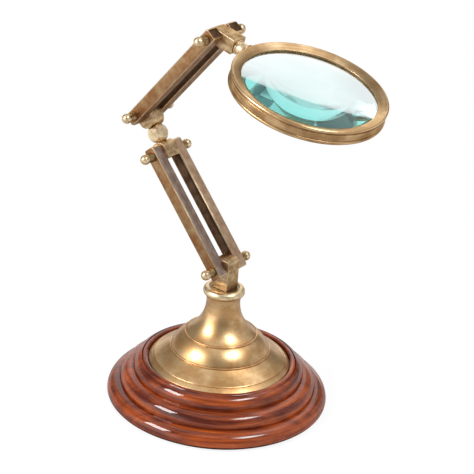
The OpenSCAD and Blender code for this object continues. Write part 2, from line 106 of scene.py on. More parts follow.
# The patches of light that metal mirrors: direction, cosines where each starts and is full, and strength
WALL = ((0.82, 0.57, 0.15), 0.5, 0.8, 0.35)
CEILING = ((-0.05, 0.15, 0.98), 0.65, 0.95, 0.65)
FRONT = ((-0.42, -0.9, 0.05), 0.75, 0.97, 1.6)
PANEL = ((0.15, 0.4, 0.9), 0.96, 0.995, 0.8)
HORIZON = ((-0.5, 0.86, 0.08), 0.93, 0.99, 0.5)
TABLE = ((0, 0, -1), -0.05, 0.02, 0.8)
# The dark screens: direction, cosines where each starts and is full, and what it leaves of the light
DARK_SCREENS = (((-0.36, 0.4, 0.84), 0.9, 0.985, 0.25), ((-0.12, 0.93, 0.34), 0.965, 0.992, 0.3))
# The studio's limit, base and level, and the fill for rays that aren't mirrored
STUDIO_TOP, STUDIO_BASE, STUDIO_LEVEL, FILL = 1.7, 0.33, 0.8, 0.38
# What rays through the glass see: white about the line of sight, else facets, which are paler on one side
SIGHT, PALE_SIDE = ((-0.525, 0.745, -0.41), 0.8, 0.85, 1.0), ((-0.12, 0.85, 0.5), 0.8, 0.9, -0.1, 0.35)
FACET_SCALE, FACET_TONES = 3.6, (0.3, 0.85, 0.1, 0.75)


def move(x, y, z):
    return Matrix.Translation((x * MM, y * MM, z * MM))


def turn(angle, axis="Y"):
    return Matrix.Rotation(math.radians(angle), 4, axis)


# Places of the moving groups
AT_POST = move(0, 0, PIN_Z)
AT_LOWER = AT_POST @ turn(-LOWER_LEAN)
AT_ELBOW = AT_LOWER @ move(0, 0, ARM) @ turn(LOWER_LEAN - ELBOW_LEAN)
AT_UPPER = AT_ELBOW @ move(0, 0, ELBOW) @ turn(ELBOW_LEAN + UPPER_LEAN)
AT_HEAD = AT_UPPER @ move(0, 0, ARM) @ turn(DROOP - UPPER_LEAN)
AT_STEM = AT_HEAD @ turn(LENS_TURN, "X")
AT_RING = AT_STEM @ move(REACH, 0, 0)


def add_camera():
    az, el, roll = math.radians(AZIMUTH), math.radians(ELEVATION), math.radians(ROLL)
    back = Vector((math.sin(az) * math.cos(el), -math.cos(az) * math.cos(el), math.sin(el)))
    right = Vector((math.cos(az), math.sin(az), 0))
    up = back.cross(right)
    x = right * math.cos(roll) + up * math.sin(roll)
    y = up * math.cos(roll) - right * math.sin(roll)
    place = Vector(AIM) + back * CAMERA_DISTANCE
    data = bpy.data.cameras.new("camera")
    data.lens, data.sensor_width = FOCAL, SENSOR
    data.clip_start, data.clip_end = 0.05, 50
    camera = bpy.data.objects.new("camera", data)
    camera.matrix_world = Matrix((
        (x.x, y.x, back.x, place.x), (x.y, y.y, back.y, place.y), (x.z, y.z, back.z, place.z), (0, 0, 0, 1)))
    scene.collection.objects.link(camera)
    scene.camera = camera


add_camera()


class Graph:
    """The node tree of a material, world or light, built with short calls.

    coord is the shaded place: in a material on the object, in a light on its face, in the world a ray's way.
    """

    def __init__(self, owner, out="ShaderNodeOutputMaterial", source="ShaderNodeTexCoord", place="Object"):
        self.owner = owner
        owner.use_nodes = True
        self.tree = owner.node_tree
        self.tree.nodes.clear()
        self.out = self.node(out)
        self.coord = self.node(source).outputs[place]

    def node(self, kind, inputs=None, **settings):
        n = self.tree.nodes.new(kind)
        for key, value in settings.items():
            setattr(n, key, value)
        for key, value in (inputs or {}).items():
            self.put(n.inputs[key], value)
        return n

    def put(self, socket, value):
        """Links another node's output, or sets a number, a vector or a colour."""
        if isinstance(value, bpy.types.NodeSocket):
            self.tree.links.new(value, socket)
        elif hasattr(value, "__len__") and len(value) == 3 and len(socket.default_value) == 4:
            socket.default_value = (*value, 1)
        else:
            socket.default_value = value

    def stretch(self, scale, vector=None, rotation=(0, 0, 0)):
        inputs = {"Vector": vector or self.coord, "Scale": scale, "Rotation": rotation}
        return self.node("ShaderNodeMapping", inputs).outputs[0]

    def noise(self, scale, detail, rough, vector=None, distortion=0):
        inputs = {"Vector": vector or self.coord, "Scale": scale, "Detail": detail, "Roughness": rough,
                  "Distortion": distortion}
        return self.node("ShaderNodeTexNoise", inputs).outputs["Fac"]

    def math(self, kind, *values):
        n = self.node("ShaderNodeMath", operation=kind)
        for socket, value in zip(n.inputs, values):
            self.put(socket, value)
        return n.outputs[0]

    def add(self, a, b):
        return self.math("ADD", a, b)

    def minus(self, a, b):
        return self.math("SUBTRACT", a, b)

    def times(self, a, b):
        return self.math("MULTIPLY", a, b)

    def larger(self, a, b):
        return self.math("MAXIMUM", a, b)

    def range(self, value, low, high, to_low=0.0, to_high=1.0, way="LINEAR"):
        inputs = {"Value": value, "From Min": low, "From Max": high, "To Min": to_low, "To Max": to_high}
        return self.node("ShaderNodeMapRange", inputs, interpolation_type=way).outputs[0]

    def along(self, direction):
        """How far a ray's way, in the world, goes along a direction."""
        n = self.node("ShaderNodeVectorMath", operation="DOT_PRODUCT")
        self.put(n.inputs[0], self.coord)
        self.put(n.inputs[1], direction)
        return n.outputs["Value"]

    def facing(self, direction, start, full, low, high):
        """A smooth ramp from low to high between two cosines, as a ray's way comes closer to a direction."""
        return self.range(self.along(Vector(direction).normalized()), start, full, low, high, "SMOOTHSTEP")

    def patch(self, direction, start, full, strength):
        return self.facing(direction, start, full, 0.0, strength)

    def mix(self, fac, a, b):
        n = self.node("ShaderNodeMix", data_type="RGBA")
        self.put(n.inputs[0], fac)
        self.put(n.inputs[6], a)
        self.put(n.inputs[7], b)
        return n.outputs[2]

    def bump(self, height, strength, distance, normal=None):
        n = self.node("ShaderNodeBump", {"Height": height, "Strength": strength, "Distance": distance})
        if normal:
            self.put(n.inputs["Normal"], normal)
        return n.outputs[0]

    def cylinder(self):
        """X, Y and Z of the place, and its distance from the Z axis."""
        x, y, z = self.node("ShaderNodeSeparateXYZ", {"Vector": self.coord}).outputs
        return x, y, z, self.math("SQRT", self.add(self.times(x, x), self.times(y, y)))

    def turned(self, around, across, detail=2, rough=0.6):
        """Noise in streaks round the Z axis: around is their number for a radian, across for a metre."""
        x, y, z, radius = self.cylinder()
        spot = {"X": self.times(self.math("DIVIDE", x, radius), around),
                "Y": self.times(self.math("DIVIDE", y, radius), around), "Z": self.times(z, across)}
        place = self.node("ShaderNodeCombineXYZ", spot).outputs[0]
        inputs = {"Vector": place, "W": self.times(radius, across), "Scale": 1, "Detail": detail,
                  "Roughness": rough}
        return self.node("ShaderNodeTexNoise", inputs, noise_dimensions="4D").outputs["Fac"]

    def principled(self, **inputs):
        n = self.node("ShaderNodeBsdfPrincipled", {k.replace("_", " "): v for k, v in inputs.items()})
        self.put(self.out.inputs[0], n.outputs[0])
        return self.owner


def brass(name, base, tarnish, bright, amount, rough, patch, brushed=None, marks=0.35, band=0.3, coat=0.0,
          grit=0.15, glaze=0.05):
    """Aged brass: tarnish in soft patches, fine specks, and marks of turning or of brushing along an axis."""
    g = Graph(bpy.data.materials.new(name))
    patches = g.noise(patch, 4, 0.6)
    specks = g.noise(1400, 3, 0.7)
    if brushed:
        scale = [90 if axis == brushed else 6000 for axis in "XYZ"]
        lines = g.noise(1, 3, 0.6, g.stretch(scale))
        broad = g.noise(1, 2, 0.5, g.stretch([s / 10 for s in scale]))
    else:
        lines = g.turned(2.2, 9000)
        broad = g.turned(1.3, 700, rough=0.5)
    mask = g.add(g.times(patches, 1 - band), g.times(broad, band))
    mask = g.range(mask, 0.5 - amount * 0.25, 0.72 - amount * 0.25)
    colour = g.mix(mask, base, tarnish)
    colour = g.mix(g.range(specks, 0.62, 0.8, 0, 0.45), colour, tarnish)
    colour = g.mix(g.range(lines, 0.55, 0.8, 0, 0.35), colour, bright)
    roughness = g.add(g.range(mask, 0, 1, rough, rough + 0.1), g.range(lines, 0.3, 0.7, -0.03, 0.04))
    normal = g.bump(lines, marks, 0.00002)
    normal = g.bump(specks, grit, 0.00003, normal)
    normal = g.bump(patches, 0.25, 0.00012, normal)
    return g.principled(Base_Color=colour, Metallic=1.0, Roughness=roughness, Normal=normal, Coat_Weight=coat,
                        Coat_Roughness=glaze, Coat_IOR=1.6, Specular_Tint=(0.6, 0.46, 0.32))


def wood():
    """Red mahogany under a lacquer: streaks follow the turning, the pores are dark, and the foot has painted
    shade.
    """
    g = Graph(bpy.data.materials.new("mahogany"))
    dark, red, orange = (0.11, 0.015, 0.006), (0.53, 0.1, 0.017), (0.66, 0.15, 0.022)
    # The foot colour is painted shade for the edge where the wood meets the floor
    streak, pore, foot = (0.055, 0.007, 0.003), (0.03, 0.005, 0.003), (0.012, 0.006, 0.005)
    plank = g.stretch((1, 1, 1), rotation=(0, 0, math.radians(-35)))
    growth = g.noise(1, 5, 0.6, g.stretch((9, 95, 95), plank), 0.5)
    rings = g.turned(1.1, 360, 4, 0.6)
    streaks = g.turned(2.2, 1200, 3, 0.6)
    pores = g.noise(1, 2, 0.6, g.stretch((260, 3200, 3200), plank))
    height = g.node("ShaderNodeSeparateXYZ", {"Vector": g.coord}).outputs["Z"]
    tone = g.add(g.times(growth, 0.4), g.times(rings, 0.6))
    colour = g.mix(g.range(tone, 0.4, 0.6), dark, red)
    colour = g.mix(g.range(streaks, 0.5, 0.7, 0, 0.7), colour, streak)
    colour = g.mix(g.range(rings, 0.56, 0.72, 0, 0.6), colour, orange)
    colour = g.mix(g.range(pores, 0.6, 0.72, 0, 0.6), colour, pore)
    # Painted shade: the colour goes dark towards the foot where it meets the floor; the lacquer thins there
    # too
    colour = g.mix(g.range(height, 0.0025, 0.0032, 1, 0), colour, foot)
    ripple = g.bump(g.noise(150, 2, 0.5), 0.06, 0.0003)
    return g.principled(Base_Color=colour, Roughness=0.5, Specular_IOR_Level=0.0, Coat_Roughness=0.02,
                        Coat_IOR=1.55, Coat_Weight=g.range(height, 0.0024, 0.0034, 0.1, 1.0),
                        Normal=g.bump(pores, 0.15, 0.00003), Coat_Normal=ripple)


def felt():
    g = Graph(bpy.data.materials.new("felt"))
    fibres = g.noise(2600, 4, 0.75)
    clumps = g.noise(350, 3, 0.6)
    colour = g.mix(g.range(fibres, 0.35, 0.7), (0.012, 0.016, 0.013), (0.055, 0.07, 0.055))
    colour = g.mix(g.range(clumps, 0.45, 0.7, 0, 0.5), colour, (0.02, 0.024, 0.02))
    return g.principled(Base_Color=colour, Roughness=0.95, Sheen_Weight=0.4, Sheen_Roughness=0.5,
                        Normal=g.bump(fibres, 0.8, 0.0004))


def steel():
    g = Graph(bpy.data.materials.new("steel"))
    lines = g.noise(1, 3, 0.6, g.stretch((5000, 90, 5000)))
    stain = g.noise(300, 3, 0.6)
    colour = g.mix(g.range(stain, 0.45, 0.75), (0.42, 0.41, 0.39), (0.22, 0.2, 0.18))
    return g.principled(Base_Color=colour, Metallic=1.0, Roughness=g.range(lines, 0.3, 0.7, 0.28, 0.42),
                        Normal=g.bump(lines, 0.3, 0.00002))


def glass():
    """Clear old glass, a little aqua where the light runs far through it."""
    g = Graph(bpy.data.materials.new("lens_glass"))
    body = g.node("ShaderNodeVolumeAbsorption", {"Color": (0.1, 0.9, 0.86), "Density": 15.0})
    g.put(g.out.inputs["Volume"], body.outputs[0])
    return g.principled(Base_Color=(1, 1, 1), Roughness=0.0, IOR=1.52, Transmission_Weight=1.0)


def lens_edge():
    """The ground edge of the lens: matt, and dark as painted shade inside the ring."""
    g = Graph(bpy.data.materials.new("lens_rim_painted_shade"))
    grain = g.noise(2400, 3, 0.7)
    colour = g.mix(g.range(grain, 0.35, 0.7), (0.05, 0.07, 0.065), (0.1, 0.13, 0.12))
    return g.principled(Base_Color=colour, Roughness=0.7, Normal=g.bump(grain, 0.4, 0.00004))


# Turned brass: base, tarnish and bright colours, amount of tarnish, roughness, patches for each metre
SATIN = brass("satin_brass", (0.84, 0.56, 0.27), (0.56, 0.3, 0.1), (0.9, 0.64, 0.36), 0.5, 0.28, 90,
              marks=0.2, band=0.12, coat=0.9, glaze=0.24)
POLISHED = brass("polished_brass", (0.97, 0.79, 0.51), (0.58, 0.39, 0.2), (0.97, 0.86, 0.64), 0.3, 0.32, 260,
                 marks=0.1, coat=0.5, grit=0.06, glaze=0.2)
# The collar's dish: a darker brass, painted shade about the post's foot
DISH_SHADE = brass("dish_brass_painted_shade", (0.42, 0.35, 0.27), (0.26, 0.2, 0.14), (0.7, 0.58, 0.42), 0.5, 0.26, 260)
NUTS = brass("nut_brass", (0.96, 0.78, 0.52), (0.42, 0.27, 0.13), (0.95, 0.84, 0.62), 0.35, 0.3, 500,
             marks=0.15)
# The nuts' necks: a darker brass, painted shade where they meet the bars
NECK_SHADE = brass("nut_necks_painted_shade", (0.5, 0.36, 0.19), (0.2, 0.12, 0.055), (0.8, 0.62, 0.38), 0.5, 0.32, 400)
RING = brass("ring_brass", (0.92, 0.66, 0.37), (0.52, 0.31, 0.14), (0.95, 0.8, 0.54), 0.5, 0.2, 60,
             marks=0.2, coat=0.3, grit=0.08)
SIDE = brass("ring_side", (0.74, 0.5, 0.26), (0.36, 0.2, 0.08), (0.88, 0.7, 0.44), 0.55, 0.24, 70,
             marks=0.15, coat=0.2, grit=0.08)
# The ring's inner wall and lens seat: a darker brass, painted shade in the recess
SHADED = brass("ring_inside_painted_shade", (0.62, 0.46, 0.28), (0.36, 0.24, 0.12), (0.7, 0.55, 0.36), 0.5, 0.6, 90)
# Brushed brass, the same with the axis that the brush went along
BLOCK = brass("block_brass", (0.77, 0.56, 0.33), (0.33, 0.2, 0.095), (0.9, 0.72, 0.48), 0.4, 0.33, 190, "X")
FRONTS = brass("bar_fronts", (0.5, 0.37, 0.31), (0.29, 0.2, 0.16), (0.68, 0.54, 0.45), 0.5, 0.3, 160, "Z")
WARM = brass("bar_fronts_warm", (0.74, 0.53, 0.37), (0.5, 0.3, 0.19), (0.85, 0.68, 0.52), 0.45, 0.3, 160, "Z")
FLANKS = brass("bar_flanks", (0.46, 0.31, 0.16), (0.3, 0.14, 0.06), (0.6, 0.46, 0.3), 0.6, 0.3, 180, "Z")
# The bars' inner flanks and ends: a dark brass, painted shade between the bars
INSIDE_SHADE = brass("bar_insides_painted_shade", (0.17, 0.1, 0.06), (0.08, 0.042, 0.025), (0.3, 0.2, 0.13), 0.5, 0.34, 160, "Z")
# The chamfers and rounded edges: a brighter brass, part wear and part painted highlight
EDGES = brass("bar_edges_wear_and_painted_highlight", (0.72, 0.55, 0.36), (0.45, 0.3, 0.17), (0.9, 0.78, 0.58), 0.2, 0.34, 200, "Z",
              marks=0.0, grit=0.0)
WOOD, FELT, STEEL, GLASS, LENS_EDGE = wood(), felt(), steel(), glass(), lens_edge()


def arc(cx, cy, r, start, end, count):
    """Points on an arc about (cx, cy), angles in degrees, counter-clockwise where end is larger."""
    return [(cx + r * math.cos(math.radians(start + (end - start) * i / count)),
             cy + r * math.sin(math.radians(start + (end - start) * i / count))) for i in range(count + 1)]


def bowed(p, q, bow, count):
    """Points on the round stretch from p to q that bows to the left of the way by bow."""
    chord = math.dist(p, q)
    ax, ay = (q[0] - p[0]) / chord, (q[1] - p[1]) / chord
    radius = (chord * chord / 4 + bow * bow) / (2 * abs(bow))
    half = math.asin(chord / 2 / radius)
    out = []
    for i in range(count + 1):
        a = half * (2 * i / count - 1)
        s = chord / 2 + radius * math.sin(a)
        t = math.copysign(1, bow) * (radius * math.cos(a) - radius * math.cos(half))
        out.append((p[0] + ax * s - ay * t, p[1] + ay * s + ax * t))
    return out


def rounded(points, radii):
    """A path of points with rounded corners; radii holds one radius for each point, 0 to keep it sharp."""
    out, last, count = [], len(points) - 1, 5
    for i, (p, r) in enumerate(zip(points, radii)):
        if not r or i in (0, last):
            out.append(p)
            continue
        v, a, b = Vector(p), Vector(points[i - 1]), Vector(points[i + 1])
        da, db = (a - v).normalized(), (b - v).normalized()
        half = da.angle(db) / 2
        cut = r / math.tan(half)
        centre = v + (da + db).normalized() * (r / math.sin(half))
        start, end = v + da * cut - centre, v + db * cut - centre
        sweep = start.angle_signed(end)
        for k in range(count + 1):
            w = start.copy()
            w.rotate(Matrix.Rotation(-sweep * k / count, 2))
            out.append(tuple(centre + w))
    return out


def mesh_of(name, verts, faces):
    mesh = bpy.data.meshes.new(name)
    mesh.from_pydata([(x * MM, y * MM, z * MM) for x, y, z in verts], [], faces)
    return mesh


def settle(name, mesh, body, nodes, material, place, sharp, extra=()):
    """Makes a mesh a piece on a body, in place of CAD nodes; edges sharper than an angle stay crisp."""
    mesh.validate()
    for m in (material, *extra):
        mesh.materials.append(m)
    mesh.shade_smooth()
    mesh.set_sharp_from_angle(angle=math.radians(sharp))
    piece = bpy.data.objects.new(name, mesh)
    piece.matrix_world = place
    scene.collection.objects.link(piece)
    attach(piece, body)
    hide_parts(*nodes)
    return piece


def lathe(name, profile, body, nodes, material, segments, place=Matrix.Identity(4), sharp=30,
          closed=False):
    """A profile of (radius, height) turned about Z. Its outside lies to the right of the way along it."""
    on_axis = 1e-6
    verts, rings = [], []
    for r, z in profile:
        if r < on_axis:
            rings.append([len(verts)])
            verts.append((0, 0, z))
        else:
            rings.append(list(range(len(verts), len(verts) + segments)))
            angles = [2 * math.pi * i / segments for i in range(segments)]
            verts += [(r * math.cos(a), r * math.sin(a), z) for a in angles]
    faces = []
    for a, b in list(zip(rings, rings[1:])) + ([(rings[-1], rings[0])] if closed else []):
        for i in range(segments):
            j = (i + 1) % segments
            if len(a) == 1:
                faces.append((a[0], b[j], b[i]))
            elif len(b) == 1:
                faces.append((a[i], a[j], b[0]))
            else:
                faces.append((a[i], a[j], b[j], b[i]))
    return settle(name, mesh_of(name, verts, faces), body, nodes, material, place, sharp)


def refinish(piece, material, test):
    """Another finish for the faces of a turned piece whose middle passes a test of radius and height."""
    piece.data.materials.append(material)
    slot = len(piece.data.materials) - 1
    for face in piece.data.polygons:
        if test(face.center.xy.length / MM, face.center.z / MM):
            face.material_index = slot


def paint(node, material):
    """Gives a CAD node that stays its material."""
    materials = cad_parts[node].data.materials
    materials.clear()
    materials.append(material)


def soften(mesh, width, segments, angle, material):
    """Rounds the edges of a mesh that are sharper than an angle, with a material slot for the rounding."""
    b = bmesh.new()
    b.from_mesh(mesh)
    edges = [e for e in b.edges if len(e.link_faces) == 2 and e.calc_face_angle(0) > math.radians(angle)]
    bmesh.ops.bevel(b, geom=edges, offset=width * MM, segments=segments, profile=0.5, affect="EDGES",
                    clamp_overlap=True, material=material)
    b.to_mesh(mesh)
    b.free()


def add_base():
    """Three rounded steps, a scribed line in each crease, a bead on the lip and the recess for the bell."""
    foot, first = BASE_R - FOOT_ROUND, FELT_T + FOOT_ROUND
    path = [(WOOD_BORE_R, FELT_T), (foot, FELT_T)] + arc(foot, first, FOOT_ROUND, -90, 0, 6)[1:-1]
    for i in range(STEPS):
        core, z = BASE_R - i * STEP_IN - STEP_ROUND, first + i * STEP_UP
        last = i == STEPS - 1
        path += arc(core, z, STEP_ROUND, 0, 67 if last else 86, 20)
        if not last:
            crease = core - STEP_IN + STEP_ROUND
            path += [(crease + x, z + STEP_ROUND + up) for x, up in SCRIBED_LINE]
    bead = RECESS_R + LIP_BEAD_AT
    path.append((bead + LIP_GROOVE[0], WOOD_TOP - LIP_GROOVE[1]))
    path += arc(bead, WOOD_TOP - LIP_BEAD_R, LIP_BEAD_R, 8, 145, 18)
    path += [(RECESS_R, BELL_FOOT), (WOOD_BORE_R, BELL_FOOT)]
    lathe("base_turned", path, "base", ["wood_base"], WOOD, segments=256, closed=True)
    paint("felt_pad", FELT)


def add_bell():
    """Rim with a turned groove, skirt, two bead lines in fine creases, dome, neck and a plain inside."""
    low, high, foot = LOWER_LINE, UPPER_LINE, BELL_FOOT

    def bead(at, start, end):
        return arc(at[0], at[1], LINE_R, start, end, 10)

    def crease(at, other, way):
        """A small groove beside a bead, on its side towards another point of the profile."""
        away = math.dist(at, other)
        ux, uz = (other[0] - at[0]) / away, (other[1] - at[1]) / away
        out = [(at[0] + ux * d - way * uz * deep, at[1] + uz * d + way * ux * deep)
               for d, deep in BEAD_CREASE]
        return out if way > 0 else out[::-1]

    def raised(points):
        return [(x, z + foot) for x, z in points]

    def clear_of(points, *lines):
        return [p for p in points if all(math.dist(p, line) > CREASE_REACH for line in lines)]

    skirt = RIM_R - RIM_T / 2
    inward = 4
    path = [(skirt - inward, foot)] + arc(skirt, foot + RIM_T / 2, RIM_T / 2, -90, 55, 12)
    rim = path[-1]
    slope = math.degrees(math.atan2(low[1] + foot - rim[1], low[0] - rim[0]))
    fall = math.radians(180 - slope)
    path += [(rim[0] - back + out * math.sin(fall), rim[1] + back * math.tan(fall) + out * math.cos(fall))
             for back, out in RIM_GROOVE]
    dome = clear_of(bowed(low, high, -DOME_SWELL, 24), low, high)
    neck = clear_of(bowed(high, (NECK_R, BELL_H), NECK_HOLLOW, 32), high)
    path += raised(crease(low, (rim[0], rim[1] - foot), -1) + bead(low, slope - 165, slope - 30)
                   + crease(low, dome[0], 1) + dome)
    slope = math.degrees(math.atan2(high[1] - low[1], high[0] - low[0]))
    path += raised(crease(high, dome[-1], -1) + bead(high, slope - 160, slope - 25)
                   + crease(high, neck[0], 1) + neck)
    top_t, neck_wall, dome_wall, skirt_wall = 2.5, (2.2, 0.8), (2, 1.6), (2, 2.2)
    path += [(BRASS_BORE_R, BELL_TOP), (BRASS_BORE_R, BELL_TOP - top_t)]
    path += [(x - neck_wall[0], z + foot - neck_wall[1]) for x, z in reversed(neck[::4]) if z < BELL_H - 3]
    path += [(x - dome_wall[0], z + foot - dome_wall[1]) for x, z in reversed(dome[::4])]
    path.append((low[0] - skirt_wall[0], low[1] + foot - skirt_wall[1]))
    lathe("bell_turned", path, "base", ["bell"], SATIN, segments=256, sharp=40, closed=True)


def add_collar():
    """A round-edged collar with a shallow dish, which is darker: painted shade about the post's foot."""
    r = COLLAR_T / 2
    core, land, top = COLLAR_R - r, COLLAR_R - r - DISH_LAND, BELL_TOP + COLLAR_T
    path = [(BRASS_BORE_R, BELL_TOP), (core, BELL_TOP)] + arc(core, BELL_TOP + r, r, -90, 90, 28)[1:]
    path += rounded([(core, top), (land, top), (land - DISH * 0.6, top - DISH), (BRASS_BORE_R, top - DISH)],
                    [0, 0.12, 0.12, 0])[1:]
    collar = lathe("collar_turned", path, "base", ["collar"], POLISHED, segments=192,
                   closed=True)
    refinish(collar, DISH_SHADE, lambda r, z: z > top - DISH * 1.5 and r < land)


def bar_mesh(name, side):
    """A bar with chamfered edges and ends; the chamfers carry a brighter brass: wear and painted highlight.

    Faces get one of four materials: the front and back, the edges, the outer flank, and the inner flank with
    the ends, which are dark as painted shade.
    """
    front, edge, flank, inside = range(4)
    middle = side * (BLOCK_W / 2 + SIDE_GAP + BAR_T / 2)
    x, y, c, e = BAR_W / 2, BAR_T / 2, BAR_CHAMFER, END_CHAMFER
    low, high = -BAR_OVER, ARM + BAR_OVER
    verts, faces, slots = [], [], []
    for z, w in ((low, x - e), (low + e, x), (high - e, x), (high, x - e)):
        section = ((c - w, -y), (w - c, -y), (w, c - y), (w, y - c),
                   (w - c, y), (c - w, y), (-w, y - c), (-w, c - y))
        verts += [(px, py + middle, z) for px, py in section]
    outer = 0 if side < 0 else 4
    for k in range(3):
        for i in range(8):
            j = (i + 1) % 8
            faces.append((8 * k + i, 8 * k + j, 8 * k + 8 + j, 8 * k + 8 + i))
            chamfer = i % 2 == 1 or (k != 1 and i in (2, 6))
            slots.append(edge if chamfer else flank if i == outer else inside if i == 4 - outer else front)
    faces += [tuple(reversed(range(8))), tuple(range(24, 32))]
    slots += [inside, inside]
    mesh = mesh_of(name, verts, faces)
    for polygon, slot in zip(mesh.polygons, slots):
        polygon.material_index = slot
    soften(mesh, width=0.1, segments=2, angle=20, material=edge)
    return mesh


def add_bars():
    """The four bars. The lower right one has a warmer front, as in the photograph."""
    for arm, place in (("lower", AT_LOWER), ("upper", AT_UPPER)):
        for side, word in ((-1, "left"), (1, "right")):
            name = f"{arm}_bar_{word}"
            front = WARM if name == "lower_bar_right" else FRONTS
            settle(name + "_bevelled", bar_mesh(name, side), f"{arm}_arm", [name], front, place,
                   sharp=60, extra=(EDGES, FLANKS, INSIDE_SHADE))


def add_nuts():
    """Eight ball nuts on round necks, which are darker: painted shade beside the bars."""
    start = BLOCK_W / 2 + SIDE_GAP + BAR_T
    hide = math.degrees(math.asin(NUT_NECK_R / BALL_R))
    join = start + NUT_REACH - BALL_R * math.cos(math.radians(hide))
    path = [(0, start)] + rounded([(0, start), (BALL_R, start), (BALL_R - 0.02, start + NUT_FOOT),
                                   (NUT_NECK_R, join)], [0, 0.15, 0.4, 0])[1:]
    path += arc(0, start + NUT_REACH, BALL_R, hide - 90, 90, 32)[1:]
    path[-1] = (0, path[-1][1])
    far = move(0, 0, ARM)
    for name, body, place in (("post_nut", "lower_arm", AT_LOWER),
                              ("elbow_lower_nut", "lower_arm", AT_LOWER @ far),
                              ("elbow_upper_nut", "upper_arm", AT_UPPER),
                              ("head_nut", "upper_arm", AT_UPPER @ far)):
        for side, word in ((-1, "left"), (1, "right")):
            nut = lathe(f"{name}_{word}_turned", path, body, [f"{name}_{word}"], NUTS,
                        segments=64, place=place @ turn(-90 * side, "X"))
            refinish(nut, NECK_SHADE, lambda r, z: z < join + 0.05)


def slab_mesh(name, outline):
    """An outline in X and Z drawn out along Y to the width of a block."""
    n = len(outline)
    h = BLOCK_W / 2
    verts = [(x, -h, z) for x, z in outline] + [(x, h, z) for x, z in outline]
    faces = [tuple(range(n)), tuple(reversed(range(n, 2 * n)))]
    faces += [(i, i + n, (i + 1) % n + n, (i + 1) % n) for i in range(n)]
    return mesh_of(name, verts, faces)


def add_block(name, mesh, body, node, place, width=0.3, angle=28):
    """A block with rounded edges in place of a node; the rounding is a brighter brass: wear and painted
    highlight.
    """
    soften(mesh, width, 3, angle, material=1)
    settle(name, mesh, body, [node], BLOCK, place, sharp=40, extra=(EDGES,))


def add_blocks():
    """The post, the two elbow blocks and the head block."""
    w, r = POST_W / 2, POST_ROUND
    post = [(-w, -POST_PIN_UP), (w, -POST_PIN_UP)]
    post += arc(w - r, POST_OVER - r, r, 0, 90, 10) + arc(r - w, POST_OVER - r, r, 90, 180, 10)
    add_block("post_block", slab_mesh("post_block", post), "post", "post", AT_POST)

    w = ELBOW_W / 2
    reach = math.degrees(math.asin((SEAT_UP - CROWN_UP) / w))
    lower = [(-w, -ELBOW_TAIL), (w, -ELBOW_TAIL)] + arc(0, CROWN_UP, w, 0, reach, 12)
    lower += arc(0, CROWN_UP, w, 180 - reach, 180, 12)
    add_block("elbow_lower", slab_mesh("elbow_lower", lower), "elbow_lower", "elbow_lower_block", AT_ELBOW)

    upper = [(w, -ELBOW_TAIL), (-w, -ELBOW_TAIL)] + arc(0, CUP_UP, w, 180, 0, 32)
    upper = [(x, ELBOW - z) for x, z in upper]
    cup = hollowed(slab_mesh("elbow_upper", upper), (0, 0, BALL_Z), ELBOW_BALL_R + CUP_GAP)
    add_block("elbow_upper", cup, "elbow_upper", "elbow_upper_block", AT_ELBOW, width=0.25, angle=32)

    c, r, t = HEAD_CHAMFER, HEAD_ROUND, HEAD_TAIL
    head = arc(r - t, r - HEAD_BELOW, r, 180, 270, 10)
    head += [(HEAD_LEN - c, -HEAD_BELOW), (HEAD_LEN, c - HEAD_BELOW)]
    head += [(HEAD_LEN, HEAD_ABOVE - c), (HEAD_LEN - c, HEAD_ABOVE)]
    head += arc(r - t, HEAD_ABOVE - r, r, 90, 180, 10)
    add_block("head_block_cut", slab_mesh("head_block_cut", head), "head", "head_block", AT_HEAD)


def hollowed(mesh, centre, radius):
    """The mesh with a ball cut out of it."""
    solid = bpy.data.objects.new("solid", mesh)
    ball_mesh = bpy.data.meshes.new("cutter")
    b = bmesh.new()
    bmesh.ops.create_uvsphere(b, u_segments=64, v_segments=48, radius=radius * MM)
    bmesh.ops.translate(b, verts=b.verts, vec=[v * MM for v in centre])
    b.to_mesh(ball_mesh)
    b.free()
    cutter = bpy.data.objects.new("cutter", ball_mesh)
    for o in (solid, cutter):
        scene.collection.objects.link(o)
    cut = solid.modifiers.new("cut", "BOOLEAN")
    cut.operation, cut.object, cut.solver = "DIFFERENCE", cutter, "EXACT"
    bpy.context.view_layer.update()
    out = bpy.data.meshes.new_from_object(solid.evaluated_get(bpy.context.evaluated_depsgraph_get()))
    for o in (solid, cutter):
        bpy.data.objects.remove(o)
    return out


def add_ball():
    """The elbow's ball: four spanner flats round it and a flat where it sits on the lower block."""
    mesh = bpy.data.meshes.new("elbow_ball_cut")
    b = bmesh.new()
    bmesh.ops.create_uvsphere(b, u_segments=96, v_segments=64, radius=ELBOW_BALL_R * MM)
    h = BALL_FLATS / 2 * MM
    cuts = [((h, 0, 0), (1, 0, 0)), ((-h, 0, 0), (-1, 0, 0)), ((0, h, 0), (0, 1, 0)),
            ((0, -h, 0), (0, -1, 0)), ((0, 0, (SEAT_UP - BALL_Z) * MM), (0, 0, -1))]
    for at, normal in cuts:
        geom = b.verts[:] + b.edges[:] + b.faces[:]
        cut = bmesh.ops.bisect_plane(b, geom=geom, plane_co=at, plane_no=normal, clear_outer=True)
        border = [e for e in cut["geom_cut"] if isinstance(e, bmesh.types.BMEdge)]
        bmesh.ops.contextual_create(b, geom=border)
    bmesh.ops.translate(b, verts=b.verts, vec=(0, 0, BALL_Z * MM))
    bmesh.ops.remove_doubles(b, verts=b.verts, dist=1e-6)
    b.to_mesh(mesh)
    b.free()
    soften(mesh, width=0.45, segments=4, angle=25, material=0)
    settle("elbow_ball_cut", mesh, "elbow_lower", ["elbow_ball"], POLISHED, AT_ELBOW,
           sharp=50, extra=(EDGES,))


